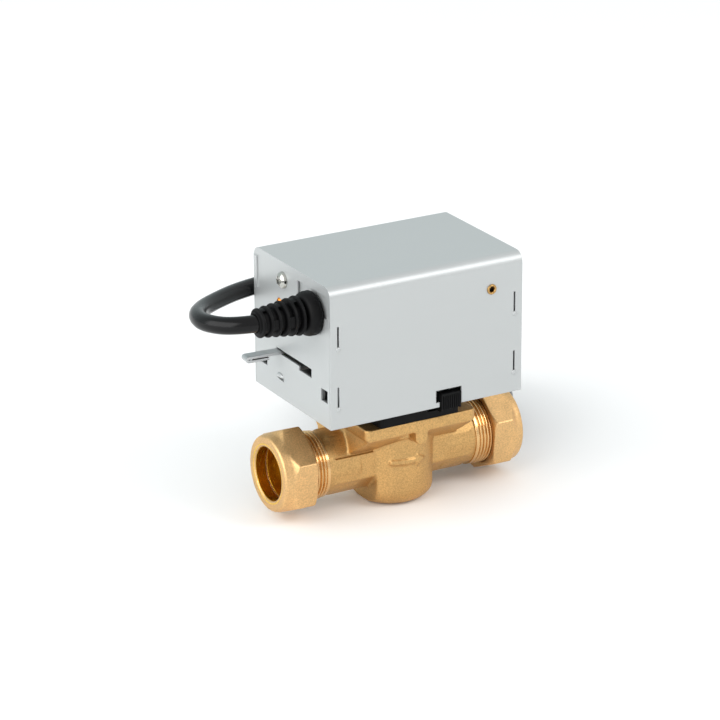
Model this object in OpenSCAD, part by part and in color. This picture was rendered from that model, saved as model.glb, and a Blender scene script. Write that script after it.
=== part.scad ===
// Two-port motorised zone valve with compression ends, a spring-return
// actuator head and a flying lead.
// X runs along the pipe, Y goes from the front to the back, Z is up.
// The origin lies under the middle of the body, on the surface it stands on.

/* [Valve body] */
// Height of the pipe's axis above the base
axis_z = 19.5; // [19:0.5:22]
// Half the length over the compression nuts
half_length = 55.2; // [54:0.1:58]
// Outside diameter of the pipe that the ends take
pipe_d = 22; // [22:1:22]
// Width across the flats of a compression nut
nut_flats = 32; // [31:0.5:33]
// Width across the flats of the body's necks
neck_flats = 25; // [24:0.5:26]
// Radius of the round chamber
chamber_r = 18; // [17.5:0.1:18.5]
// Height of the platform's top above the pipe's axis
platform_h = 20.1; // [19:0.1:21]

/* [Actuator head] */
// Length of the cover
cover_l = 87; // [85:1:90]
// Depth of the cover
cover_w = 62; // [60:1:64]
// Height of the cover
cover_h = 58.1; // [56:0.1:60]
// Height of the cover's lower edge above the pipe's axis
cover_gap = 26.9; // [26:0.1:28]
// Thickness of the cover's sheet
sheet = 0.8; // [0.7:0.1:0.9]
// Outside radius of the cover's two long bends
bend_r = 4.5; // [3:0.5:6]

/* [Drive] */
// Distance of the spindle from the middle of the body, along the pipe
spindle_x = 1; // [0:0.5:1]
// Distance of the spindle behind the pipe's axis
spindle_y = 9; // [9:0.5:9]
// Diameter of the spindle
spindle_d = 5; // [5:0.1:5]
// Gear module of the motor pinion and the sector
gear_module = 1; // [1:0.1:1]
// Teeth on the motor pinion
pinion_teeth = 10; // [10:1:10]
// Teeth on the sector's full circle
sector_teeth = 38; // [38:1:38]

/* [Lead] */
// Diameter of the lead
lead_d = 7; // [6.8:0.1:7.2]
// Radius of the coil at the middle of its turns
coil_r = 35; // [35:0.5:36]
// Height of the coil on the surface
coil_h = 29.8; // [29.8:0.1:29.8]

/* [Hidden] */
$fn = 48;
e = 0.01;                                   // overlap that keeps two joined shapes one solid

bore_r = pipe_d / 2 + 0.1;
neck_end = 34.6;                            // where the neck gives way to the thread
thread_r = 14;
thread_end = 49.6;
nut_len = 14.4;
stop_x = 33.2;                              // depth at which the pipe meets its stop
waterway_r = 9.5;
seat_x = 9.5;
seat_r = 7.5;
platform_z = axis_z + platform_h;
platform_t = 4.9;
platform_d = 50;                            // depth of the platform, front to back
platform_x = [-23.8, 26.8];
cover_z = axis_z + cover_gap;
cover_top = cover_z + cover_h;
half_l = cover_l / 2;
half_w = cover_w / 2;
plate_z = cover_z + 0.3;                    // underside of the chassis
plate_t = 1.2;
floor_z = plate_z + plate_t;                // inside floor of the head
lever_z = 65.5;                             // underside of the lever's strip
lever_t = 1.1;
gland_y = -17.7;
gland_z = axis_z + 71.7;
gland_tip = -69;
ball_r = 8.3;
ball_x = -seat_x + sqrt(ball_r * ball_r - seat_r * seat_r) + 0.15;
pinion_r = gear_module * pinion_teeth / 2;
sector_r = gear_module * sector_teeth / 2;
mesh_angle = -42;                           // direction from the spindle to the motor
motor_x = spindle_x + (sector_r + pinion_r + 0.25) * cos(mesh_angle);
motor_y = spindle_y + (sector_r + pinion_r + 0.25) * sin(mesh_angle);
motor_posts = [[0, 24.8], [-24.8, 0]];
sector_z = floor_z + 20;
sector_t = 3;
motor_r = 21.5;
motor_z = sector_z + 7;
eyelet = [29.3, 91.5];                      // place of the eyelet on the front
cover_screw_at = [6.5, 97];                 // place of a cover screw on an end
rivet_at = [9.9, 86.9];
latch_x = [6.1, 15.1];
coil_at = [52, 60];                         // middle of the coil on the surface
tail_end = [52.9, 81.7, 3.5];               // where the sheath ends, inside the coil
tail_way = [-0.906, -0.42, 0];              // direction in which it ends

// The lead's way from the gland to the coil, which it joins along the coil's edge
lead_path = [[gland_tip, gland_y, gland_z], [-74.4, -15.5, 90.9], [-78.8, -11.5, 90.3], [-81.5, -6.3, 89.8],
    [-82.4, -0.5, 89.2], [-81.4, 5.3, 88.7], [-79, 10.7, 88.1], [-75.5, 15.5, 87.4], [-71.4, 19.7, 86.8],
    [-66.8, 23.4, 86.3], [-61.9, 26.7, 85.9], [-56.8, 29.7, 85.6], [-51.6, 32.4, 85.3], [-46.1, 34.7, 85],
    [-40.5, 36.5, 84.8], [-34.7, 38.1, 84.3], [-29.1, 39.3, 83.3], [-23.6, 40.1, 81.2], [-18.4, 40.5, 78.3],
    [-13.7, 40.6, 74.7], [-9.5, 40.5, 70.5], [-5.9, 40.4, 65.8], [-3.1, 40.3, 60.6], [-0.9, 40.1, 55.1],
    [1.3, 39.6, 49.6], [3.7, 38.6, 44.5], [6.6, 37.2, 39.9], [9.9, 35.5, 35.8], [13.7, 33.4, 32.4],
    [18, 31.1, 29.8], [22.6, 28.9, 28]];
tail_path = [[66.3, 83.8, 3.5], [63, 84, 3.5], [59.7, 83.8, 3.5], [56.4, 83.1, 3.5], tail_end];

// A solid along a list of points, as a ring of corners at each of them
module swept(path, r, sides) {
    n = len(path);
    along = [for (i = [0 : n - 1]) unit(path[min(i + 1, n - 1)] - path[max(i - 1, 0)])];
    points = [for (i = [0 : n - 1])
        let (side = unit(cross(along[i], abs(along[i].z) > 0.9 ? [1, 0, 0] : [0, 0, 1])), up = cross(side, along[i]))
        for (k = [0 : sides - 1]) path[i] + r * (cos(360 * k / sides) * side + sin(360 * k / sides) * up)];
    walls = [for (i = [0 : n - 2]) for (k = [0 : sides - 1])
        let (a = i * sides + k, b = i * sides + (k + 1) % sides) [a, b, b + sides, a + sides]];
    polyhedron(points, concat(walls, [[for (k = [sides - 1 : -1 : 0]) k]],
        [[for (k = [0 : sides - 1]) (n - 1) * sides + k]]), convexity = 10);
}
function unit(v) = v / norm(v);
// Points on the curve from a to d that b and c pull on
function curve(a, b, c, d, n = 12) = [for (i = [0 : n]) let (t = i / n, u = 1 - t)
    u * u * u * a + 3 * u * u * t * b + 3 * u * t * t * c + t * t * t * d];

// Cylinder along X from x0 to x1
module rod_x(x0, x1, r, y = 0, z = 0) {
    translate([x0, y, z]) rotate([0, 90, 0]) cylinder(h = x1 - x0, r = r);
}
// Cylinder along Y from y0 to y1
module rod_y(y0, y1, r, x = 0, z = 0) {
    translate([x, y1, z]) rotate([90, 0, 0]) cylinder(h = y1 - y0, r = r);
}
module block(lo, hi) { translate(lo) cube(hi - lo); }
// Plan with round corners
module soft_rect(lo, hi, r) {
    for (x = [lo.x + r, hi.x - r], y = [lo.y + r, hi.y - r]) translate([x, y]) circle(r);
    translate([lo.x + r, lo.y]) square([hi.x - lo.x - 2 * r, hi.y - lo.y]);
    translate([lo.x, lo.y + r]) square([hi.x - lo.x, hi.y - lo.y - 2 * r]);
}
module ring(r0, r1, h) {
    difference() {
        cylinder(h = h, r = r1);
        translate([0, 0, -e]) cylinder(h = h + 2 * e, r = r0);
    }
}
module pan_screw(head_r, head_h, r, l) {
    rotate_extrude() polygon([[0, head_h], [head_r * 0.55, head_h * 0.9], [head_r * 0.9, head_h * 0.5],
        [head_r, 0], [r, 0], [r, -l], [0, -l]]);
}
module cross_recess(r, depth) {
    for (a = [0, 90]) rotate(a) translate([-r, -0.35, 0]) cube([2 * r, 0.7, depth]);
}

// ---- valve ----

module octagon(x0, x1, flats) {
    translate([x0, 0, axis_z]) rotate([0, 90, 0]) rotate(22.5)
        cylinder(h = x1 - x0, r = flats / 2 / cos(22.5), $fn = 8);
}

// Round cup with a filleted bottom, cut flat on both sides
module cup() {
    fillet = 7;
    intersection() {
        translate([0.6, 0, 0]) rotate_extrude($fn = 72) {
            square([chamber_r - fillet, axis_z + platform_h - platform_t]);
            translate([0, fillet]) square([chamber_r, axis_z + platform_h - platform_t - fillet]);
            translate([chamber_r - fillet, fillet]) circle(fillet);
        }
        block([-12.5, -30, -1], [13.5, 30, platform_z]);
    }
}

// Thread shown as rings, one for each pitch
module thread_rings(x0, x1) {
    pitch = 1.5;
    translate([x0, 0, axis_z]) rotate([0, 90, 0]) rotate_extrude($fn = 72)
        polygon(concat([[bore_r + 1, 0]], [for (i = [0 : floor((x1 - x0) / pitch) - 1], k = [0, 1])
            [thread_r - (k == 0 ? 0.75 : 0), (i + k / 2) * pitch]], [[thread_r - 0.9, x1 - x0], [bore_r + 1, x1 - x0]]));
}

// Blends the necks and the cup into the platform
module saddle() {
    foot = axis_z + 6.6;
    hull($fn = 32) {
        block([-24.7, -neck_flats / 2, foot], [24.7, neck_flats / 2, foot + 0.5]);
        block([platform_x[0] + 1.5, -platform_d / 2 + 1, platform_z - platform_t - 0.5],
            [platform_x[1] - 1.5, platform_d / 2 - 1, platform_z - platform_t + 0.2]);
    }
}

// Raised arrow that shows the way of the flow, wrapped round the cup
module flow_arrow() intersection() {
    translate([0.6, 0, axis_z - 5]) cylinder(h = 11, r = chamber_r + 1, $fn = 72);
    translate([0, -12, axis_z + 0.5]) rotate([90, 0, 0]) linear_extrude(10)
        polygon([[-8.5, -0.95], [3, -0.95], [3, -2.3], [7, 0], [3, 2.3], [3, 0.95], [-8.5, 0.95]]);
}

module valve_body() color("#C59E64") difference() {
    union() {
        cup();
        octagon(-neck_end + 3.4, neck_end - 3.4, neck_flats);
        for (s = [-1, 1]) scale([s, 1, 1]) {
            rod_x(20, neck_end, 13, 0, axis_z);
            rod_x(neck_end - e, thread_end, bore_r + 1.5, 0, axis_z);
            thread_rings(neck_end - e, thread_end - 3);
        }
        saddle();
        translate([0, 0, platform_z - platform_t]) linear_extrude(platform_t)
            soft_rect([platform_x[0], -platform_d / 2], [platform_x[1], platform_d / 2], 3);
        rod_y(-platform_d / 2, -15, 2.7, 1.3, platform_z - platform_t - 3);
        block([-1.4, -platform_d / 2, platform_z - platform_t - 3], [4, -15, platform_z - platform_t + e]);
        flow_arrow();
    }
    for (s = [-1, 1]) scale([s, 1, 1]) {
        rod_x(stop_x, half_length, bore_r, 0, axis_z);
        rod_x(s > 0 ? 5 : 9, stop_x + e, waterway_r, 0, axis_z);
    }
    // chamber in which the ball swings, and its mouth
    intersection() {
        translate([0, 0, 4]) cylinder(h = 28, r = chamber_r - 2.4, $fn = 72);
        block([-9.6, -30, 3], [11.5, 30, 33]);
    }
    translate([0, 0, 20]) cylinder(h = 30, r = 13.8);
    translate([0, 0, platform_z - 3]) cylinder(h = 4, r = 18.2);
    translate([0, 0, platform_z - 4.1]) cylinder(h = 4, r = 14.4);
    for (p = bonnet_holes()) translate([p.x, p.y, platform_z - 10]) cylinder(h = 12, r = 1.25);
    for (p = adaptor_holes()) translate([p.x, p.y, platform_z - 9]) cylinder(h = 12, r = 1.5);
    // parting groove along the top of each neck's front
    block([-31, -neck_flats / 2 - 1, axis_z + 5], [-13.4, -neck_flats / 2 + 0.9, axis_z + 5.9]);
    block([14.4, -neck_flats / 2 - 1, axis_z + 5], [31, -neck_flats / 2 + 0.9, axis_z + 5.9]);
    // small hollow beside the front boss
    block([-6, -platform_d / 2 - 1, platform_z - platform_t - 4.2], [-1.4, -18.5, platform_z - platform_t]);
    // counterbore that holds the seat
    rod_x(-seat_x - 3.2, -seat_x, 10.3, 0, axis_z);
}
function bonnet_holes() = [for (a = [45 : 90 : 315]) [15.9 * cos(a), 15.9 * sin(a)]];
function adaptor_holes() = [for (x = [-14.5, 15.5], y = [-17.5, 17.5]) [x, y]];

module valve_seat() color("#D9C07A") difference() {
    rod_x(-seat_x - 3.2, -seat_x, 10.3, 0, axis_z);
    rod_x(-seat_x - 5, -seat_x + 1, seat_r, 0, axis_z);
}

// Nut with a domed front, drawn for the outlet end
module nut() {
    x1 = half_length;
    x0 = half_length - nut_len;
    corner = nut_flats / 2 / cos(30);
    difference() {
        intersection() {
            translate([x0, 0, axis_z]) rotate([0, 90, 0]) rotate(6)
                cylinder(h = nut_len, r = corner, $fn = 6);
            translate([x0, 0, axis_z]) rotate([0, 90, 0]) rotate_extrude($fn = 96)
                polygon([[0, 0], [16.4, 0], [17.4, 0.45], [corner + 0.6, 1.5], [corner + 0.6, nut_len - 6.4],
                    [17.5, nut_len - 5.2], [16.7, nut_len - 4.4], [16.1, nut_len - 3.5], [15.85, nut_len - 2],
                    [15.5, nut_len - 0.6], [14.9, nut_len], [0, nut_len]]);
        }
        rod_x(x0 - 1, x1 - 4.9, thread_r + 0.1, 0, axis_z);
        rod_x(x1 - 6, x1 + 1, bore_r, 0, axis_z);
    }
}
module outlet_nut() color("#CBA36A") nut();
module inlet_nut() color("#CBA36A") mirror([1, 0, 0]) nut();

// Sealing ring between the nut and the body, drawn for the outlet end
module olive_ring() {
    x1 = half_length - 5;
    difference() {
        translate([thread_end + 0.05, 0, axis_z]) rotate([0, 90, 0]) cylinder(h = x1 - thread_end - 0.1, r = 13.6);
        rod_x(thread_end - 1, x1 + 1, bore_r, 0, axis_z);
    }
}
module outlet_olive() color("#C98B52") olive_ring();
module inlet_olive() color("#C98B52") mirror([1, 0, 0]) olive_ring();

module bonnet_plate() color("#BE9A5E") difference() {
    union() {
        translate([0, 0, platform_z - 2.95]) cylinder(h = 2.95, r = 18);
        translate([spindle_x, spindle_y, platform_z - 8]) cylinder(h = 12.5, r = 4.2);
    }
    translate([spindle_x, spindle_y, 0]) cylinder(h = 60, r = spindle_d / 2 + 0.05);
    for (z = seal_heights()) translate([spindle_x, spindle_y, z]) ring(spindle_d / 2, spindle_d / 2 + 0.9, 1.6);
    for (p = bonnet_holes()) translate([p.x, p.y, 0]) cylinder(h = 60, r = 1.5);
}
function seal_heights() = [platform_z - 6, platform_z - 2.6];

module bonnet_seal() color("#1E1E1E") translate([0, 0, platform_z - 4.06]) ring(13.85, 14.35, 1.05);
module bonnet_screws() color("silver") for (p = bonnet_holes())
    translate([p.x, p.y, platform_z + 0.02]) pan_screw(2.3, 1.6, 1.2, 9);

// The spindle, with the flat drive end that the head's hub drops over
module spindle() color("#B9BBBD") difference() {
    union() {
        translate([spindle_x, spindle_y, axis_z - 4]) cylinder(h = platform_z - axis_z + 8, r = spindle_d / 2);
        translate([spindle_x, spindle_y, platform_z + 4 - e]) intersection() {
            cylinder(h = 12, r = spindle_d / 2);
            translate([-spindle_d, -1.8, 0]) cube([2 * spindle_d, 3.6, 12]);
        }
    }
}
module spindle_seals() color("#222222") for (z = seal_heights())
    translate([spindle_x, spindle_y, z + 0.1]) ring(spindle_d / 2 + 0.02, spindle_d / 2 + 0.85, 1.4);

// Arm that carries the ball, clamped round the spindle
module paddle_arm() color("#B08C50") difference() {
    union() {
        translate([spindle_x, spindle_y, axis_z - 3]) cylinder(h = 13, r = 4.2);
        translate([spindle_x, spindle_y, axis_z + 4]) rotate(atan2(-spindle_y, ball_x - spindle_x)) translate([0, -2, 0])
            cube([norm([ball_x - spindle_x, spindle_y]), 4, 5.8]);
        translate([ball_x, 0, axis_z + 4]) cylinder(h = 5.8, r = 3.2);
    }
    translate([spindle_x, spindle_y, 0]) cylinder(h = 60, r = spindle_d / 2 + 0.02);
    translate([ball_x, 0, axis_z]) sphere(ball_r);
    translate([ball_x, 0, 0]) cylinder(h = 60, r = 1.3);
}
module valve_ball() color("#3A3A38") difference() {
    translate([ball_x, 0, axis_z]) sphere(ball_r - 0.02);
    translate([ball_x, 0, axis_z - 2]) cylinder(h = 20, r = 1.3);
}
module ball_rivet() color("#C8CACC") translate([ball_x, 0, 0]) {
    translate([0, 0, axis_z - 1.9]) cylinder(h = 12, r = 1.25);
    translate([0, 0, axis_z + 9.85]) cylinder(h = 1, r = 2.4);
}

// Plastic plate on which the head drops
module adaptor_plate() color("#1B1B1C") difference() {
    union() {
        translate([0, 0, platform_z]) linear_extrude(cover_z - platform_z)
            soft_rect([-17.6, -platform_d / 2 + 0.2], [18.6, platform_d / 2 - 0.2], 1.5);
    }
    translate([spindle_x, spindle_y, platform_z - 1]) cylinder(h = 20, r = 6);
    for (p = adaptor_holes()) {
        translate([p.x, p.y, platform_z - 1]) cylinder(h = 20, r = 1.9);
        translate([p.x, p.y, platform_z + 2.5]) cylinder(h = 20, r = 3.4);
    }
    for (p = bonnet_holes()) translate([p.x, p.y, platform_z - 1]) cylinder(h = 3.2, r = 2.6);
    block([4, -platform_d / 2 - 1, platform_z + 3], [17.4, -platform_d / 2 + 6, cover_z + 1]);
}
module adaptor_screws() color("silver") for (p = adaptor_holes())
    translate([p.x, p.y, platform_z + 2.52]) pan_screw(3, 1.9, 1.45, 9.5);

// ---- head ----

// Section of the sheet that makes the front, the top and the back
module cover_outline(w, h, r) {
    translate([-w, 0]) square([2 * w, h - r]);
    translate([-w + r, 0]) square([2 * (w - r), h]);
    for (s = [-1, 1]) translate([s * (w - r), h - r]) circle(r);
}
module end_flap() {
    translate([-half_l, 0, 0]) rotate([90, 0, 90]) linear_extrude(sheet)
        translate([0, cover_z]) cover_outline(half_w - sheet - 0.12, cover_h - e, bend_r - sheet);
}
module cover() color("#CBCDCC") difference() {
    union() {
        translate([-half_l, 0, cover_z]) rotate([90, 0, 90]) linear_extrude(cover_l) difference() {
            cover_outline(half_w, cover_h, bend_r);
            translate([0, -1]) cover_outline(half_w - sheet, cover_h - sheet + 1, bend_r - sheet);
        }
        for (m = [0, 1]) mirror([m, 0, 0]) {
            end_flap();
            // bridge that joins the flap to the top
            block([-half_l, -half_w + bend_r, cover_top - 2 * sheet], [-half_l + sheet, half_w - bend_r, cover_top - sheet / 2]);
            // ear at the back corner, folded over the flap
            block([-half_l - 0.5, half_w - 3.4, cover_top - 17], [-half_l + e, half_w - 1, cover_top - 3.6]);
            // lance bumps
            for (z = [80.3, 55.4]) translate([-40, -half_w, z - 0.9]) scale([1, 0.5, 1]) sphere(1, $fn = 24);
        }
        // lanced dimple on the end
        translate([-half_l, 10, 55.6]) scale([0.6, 1.8, 1]) sphere(1.4, $fn = 24);
    }
    for (m = [0, 1]) mirror([m, 0, 0]) {
        translate([-half_l - 1, cover_screw_at.x, cover_screw_at.y]) rotate([0, 90, 0]) cylinder(h = 3, r = 2);
        for (z = [80.3, 55.4]) block([-40.4, -half_w - 1, z], [-39.6, -half_w + sheet + 1, z + 8.3]);
    }
    // front: eyelet and latch window
    rod_y(-half_w - 1, -half_w + 2, 1.9, eyelet.x, eyelet.y);
    block([4, -half_w - 1, cover_z + 2], [15.7, -half_w + 2, 53.5]);
    block([5.7, -half_w - 1, cover_z - 1], [15.7, -half_w + 2, 53.5]);
    // inlet end: lever slot with its drop notch, square holes and the mouth for the gland
    translate([-half_l - 1, 0, 0]) {
        block([0, -15.8, 65], [3, 12.8, 67]);
        translate([0, -14.7, 65.9]) rotate([0, 90, 0]) cylinder(h = 3, r = 1.1);
        block([0, -15.8, 63.3], [3, -5.8, 66]);
        block([0, 20.8, 56.6], [3, 25.7, 61.5]);
        block([0, -28.5, 56.8], [3, -23.4, 61.8]);
        block([0, -28.4, gland_z], [3, -5.3, gland_z + 9.3]);
        block([0, 7, 54], [3, 11, 55.4]);
        translate([0, gland_y, gland_z]) rotate([0, 90, 0]) cylinder(h = 3, r = 8.6);
        translate([0, rivet_at.x, rivet_at.y]) rotate([0, 90, 0]) cylinder(h = 3, r = 1.05);
    }
}

// Folded tray that carries the works: a floor and two upright ends
module chassis() color("#B8BABB") difference() {
    union() {
        block([-half_l + 1, -half_w + 2, plate_z], [half_l - 1, half_w - 2, floor_z]);
        for (s = [-1, 1]) scale([s, 1, 1])
            block([half_l - 2.1, -half_w + 2, plate_z], [half_l - 1, half_w - 2, cover_top - 3]);
        block([7, -22, floor_z - e], [14, -21, floor_z + 5]);
    }
    translate([spindle_x, spindle_y, plate_z - 1]) cylinder(h = 4, r = 6.5);
    for (p = adaptor_holes()) translate([p.x, p.y, plate_z - 1]) cylinder(h = 4, r = 3.6);
    for (s = [-1, 1]) translate([s * (half_l - 1.5), cover_screw_at.x, cover_screw_at.y]) rotate([0, 90, 0]) cylinder(h = 4, r = 1.5, center = true);
    translate([-half_l, 0, 0]) {
        block([0.5, -16.4, 62.6], [3, 13.4, 67.8]);
        translate([0, gland_y, gland_z]) rotate([0, 90, 0]) cylinder(h = 4, r = 6.6);
        translate([0, rivet_at.x, rivet_at.y]) rotate([0, 90, 0]) cylinder(h = 4, r = 1.05);
        block([0.5, 20.2, 56], [3, 26.3, 62.1]);
        block([0.5, -29.5, 56.2], [3, -22.8, 62.4]);
    }
    block([3.5, -half_w, plate_z - 1], [16.2, -half_w + 9, floor_z + 1]);
    translate([eyelet.x, 0, 0]) rod_y(-half_w, -half_w + 2.5, 2.2, 0, eyelet.y);
}
module cover_screws() color("#D8DADB") for (m = [0, 1]) mirror([m, 0, 0])
    translate([-half_l - 0.02, cover_screw_at.x, cover_screw_at.y]) rotate([0, -90, 0]) difference() {
        pan_screw(3.5, 2.3, 1.45, 6);
        rotate(20) translate([0, 0, 0.9]) cross_recess(2, 2);
    }
module end_rivet() color("#C98A4B") translate([-half_l, rivet_at.x, rivet_at.y]) rotate([0, -90, 0]) {
    rotate_extrude() polygon([[0, 0.9], [1, 0.75], [1.8, 0.02], [1, 0.02], [1, -2.9], [0, -2.9]]);
}
module front_eyelet() color("#B98D48") translate([eyelet.x, -half_w, eyelet.y]) rotate([90, 0, 0]) rotate_extrude() {
    polygon([[1.1, -1.8], [1.85, -1.8], [1.85, 0.02], [2.1, 0.02], [2.1, 0.35], [1.75, 0.7], [1.35, 0.6], [1.1, 0.2]]);
}

// Ribbed slider that frees the head
module release_latch() color("#202021") difference() {
    union() {
        block([latch_x[0], -half_w - 0.8, cover_z - 1.4], [latch_x[1], -half_w + 3, 51.8]);
        block([latch_x[0] + 1, -half_w + 3 - e, platform_z + 3.6], [latch_x[1] - 1, -half_w + 8.2, platform_z + 6.6]);
        block([latch_x[0] + 1, -half_w + 1.5, platform_z + 3.6], [latch_x[1] - 1, -half_w + 3, cover_z]);
    }
    for (i = [0 : 7]) block([latch_x[0] + 0.7 + i, -half_w - 1.4, cover_z - 2], [latch_x[0] + 1.15 + i, -half_w - 0.35, 51]);
}
module latch_spring() color("silver") translate([latch_x[0] + 4.5, -half_w + 3.25, floor_z + 2]) rotate([-90, 0, 0])
    swept([for (i = [0 : 48]) [1.4 * cos(i * 30), 1.4 * sin(i * 30), i * 0.055]], 0.2, 6);

// ---- works ----

module gear_teeth(n, m, teeth, h) {
    r = n * m / 2;
    for (i = teeth) rotate(360 * i / n) linear_extrude(h)
        polygon([[r - 1.25 * m, -0.95 * m], [r - 0.1 * m, -0.72 * m], [r + 0.9 * m, -0.28 * m],
            [r + 0.9 * m, 0.28 * m], [r - 0.1 * m, 0.72 * m], [r - 1.25 * m, 0.95 * m]]);
}
module motor_at(z) { translate([motor_x, motor_y, z]) children(); }
module motor_can() color("#C4C6C7") motor_at(motor_z) difference() {
    cylinder(h = 17, r = motor_r, $fn = 72);
    translate([0, 0, 1]) cylinder(h = 15.2, r = motor_r - 1);
    translate([0, 0, -1]) cylinder(h = 20, r = 3);
}
module motor_coil() color("#B5561F") motor_at(motor_z + 1.4) ring(9, 19, 13.8);
module motor_gearcase() color("#B0B3B4") motor_at(motor_z - 3.6) difference() {
    union() {
        for (p = motor_posts) linear_extrude(1.2) hull() {
            translate(p) circle(3.2);
            circle(12);
        }
        translate([0, 0, 1.2 - e]) cylinder(h = 2.4, r = 16);
    }
    translate([0, 0, -1]) cylinder(h = 10, r = 2.2);
    for (p = motor_posts) translate([p.x, p.y, -1]) cylinder(h = 4, r = 1.7);
}
// Posts that stand on the chassis and hold the motor, each with its screw
module motor_screws() color("#BFC2C4") for (p = motor_posts) translate([motor_x + p.x, motor_y + p.y, 0]) {
    translate([0, 0, floor_z]) cylinder(h = motor_z - 3.6 - floor_z, r = 2.6, $fn = 6);
    translate([0, 0, motor_z - 2.38]) pan_screw(2.6, 1.7, 1.6, 1.3);
}
module motor_pinion() color("#C9A557") motor_at(sector_z - 0.6) {
    difference() {
        union() {
            rotate(mesh_angle + 180 + 180 / pinion_teeth) linear_extrude(sector_t + 0.7) polygon([
                for (i = [0 : pinion_teeth - 1], p = [[-1.15, -0.85], [-0.1, -0.72], [0.9, -0.28], [0.9, 0.28], [-0.1, 0.72], [-1.15, 0.85]])
                    let (a = 360 * i / pinion_teeth, x = pinion_r + p.x * gear_module, y = p.y * gear_module)
                        [x * cos(a) - y * sin(a), x * sin(a) + y * cos(a)]]);
        }
        translate([0, 0, -1]) cylinder(h = 3, r = 1);
    }
    translate([0, 0, sector_t + 0.7 - e]) cylinder(h = 5, r = 2);
}
module sector_gear() color("#D7D8D6") translate([spindle_x, spindle_y, sector_z]) rotate(mesh_angle) difference() {
    union() {
        cylinder(h = sector_t, r = 8);
        rotate(-44) rotate_extrude(angle = 60) translate([sector_r - 5, 0]) square([5 - 1.2, sector_t]);
        for (a = [-37, 9]) rotate(a) translate([5, -2.2, 0]) cube([sector_r - 7.5, 4.4, sector_t]);
        gear_teeth(sector_teeth, gear_module, [-4 : 1], sector_t);
    }
    translate([0, 0, -1]) cylinder(h = 9, r = 4.02);
}
// Hub with the slot that takes the spindle's drive end
module drive_hub() color("#C7B07A") translate([spindle_x, spindle_y, 0]) difference() {
    union() {
        translate([0, 0, plate_z + 0.3]) cylinder(h = sector_z + sector_t + 3 - plate_z - 0.3, r = 4);
        translate([0, 0, floor_z + 0.3]) cylinder(h = 3.5, r = 7.8);
    }
    translate([-spindle_d / 2 - 0.3, -2.05, plate_z - 3]) cube([spindle_d + 0.6, 4.1, 17]);
}
// Strip that passes through the slot and is folded back under itself at its end
module manual_lever() color("#BDBFC0") difference() {
    lever_tip = [-57.4, 11.3];
    union() {
        translate([spindle_x, spindle_y, lever_z]) cylinder(h = lever_t, r = 7.4);
        translate([spindle_x, spindle_y, lever_z]) rotate(176) translate([0, -4.6, 0]) cube([22, 7.4, lever_t]);
        lever_leaf([-4, 7.2], lever_tip, lever_z, lever_t);
        lever_leaf([-49, 10.7], lever_tip, lever_z - 1.5, 1);
        translate([lever_tip.x, lever_tip.y, 0]) rotate(-4.4) translate([-0.25, 0, lever_z - 0.2])
            rotate([90, 0, 0]) difference() {
                cylinder(h = 4.6, r = 1.3, center = true);
                translate([0.2, 0, 0]) cylinder(h = 6, r = 0.25, center = true);
            }
    }
    translate([spindle_x, spindle_y, lever_z - 1]) cylinder(h = 5, r = 4.02);
}
module lever_leaf(from, to, z, t) {
    way = to - from;
    translate([from.x, from.y, z]) rotate(atan2(way.y, way.x)) translate([0, -2.3, 0]) cube([norm(way), 4.6, t]);
}
// Rivets that join the sector to the lever's disc
module lever_rivets() color("#A9ACAE") translate([spindle_x, spindle_y, 0]) for (a = [90, 270]) rotate(a) translate([5.9, 0, 0])
    translate([0, 0, lever_z + lever_t + 0.02]) cylinder(h = sector_z - lever_z - lever_t - 0.04, r = 0.9);

module return_spring() color("#8F9294") translate([spindle_x, spindle_y, floor_z + 4.4]) {
    wire = 0.45;
    turns = [for (i = [0 : 96]) [5.4 * cos(i * 15), 5.4 * sin(i * 15), wire + i * 0.066]];
    swept(concat([[5.4, -13, wire], [5.4, -8, wire], [5.4, -3, wire]], turns), wire, 6);
}
module spring_post() color("#A7AAAC") translate([spindle_x + 7.2, spindle_y - 12.4, floor_z]) cylinder(h = 7, r = 1.2);

// Switch that the sector closes when the valve is open
switch_lo = [-28, -28.2];
module switch_body() color("#2A2C30") difference() {
    block([switch_lo.x, switch_lo.y, floor_z], [switch_lo.x + 20, switch_lo.y + 6.4, floor_z + 10.2]);
    for (x = [5.2, 14.8]) rod_y(switch_lo.y - 1, switch_lo.y + 8, 1.3, switch_lo.x + x, floor_z + 3);
    block([switch_lo.x + 6.4, switch_lo.y + 2, floor_z + 8.4], [switch_lo.x + 9.6, switch_lo.y + 4.4, floor_z + 11]);
}
module switch_plunger() color("#B23A2E")
    block([switch_lo.x + 6.6, switch_lo.y + 2.2, floor_z + 9], [switch_lo.x + 9.4, switch_lo.y + 4.2, floor_z + 11.6]);
module switch_terminals() color("#C9B36B") for (x = [-3.6, 20])
    block([switch_lo.x + x, switch_lo.y + 2.9, floor_z + 5], [switch_lo.x + x + 3.6, switch_lo.y + 3.5, floor_z + 8]);
module switch_screws() color("silver") for (x = [5.2, 14.8])
    translate([switch_lo.x + x, switch_lo.y + 6.42, floor_z + 3]) rotate([-90, 0, 0]) pan_screw(2, 1.3, 1.2, 6.2);

module earth_tag() color("#CDB56A") difference() {
    block([-41, 15, floor_z], [-32, 20, floor_z + 0.6]);
    translate([-34.5, 17.5, floor_z - 1]) cylinder(h = 3, r = 1.8);
}
module earth_screw() color("#C2A14D") translate([-34.5, 17.5, floor_z + 0.62]) pan_screw(2.8, 1.7, 1.7, 0.6);

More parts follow.
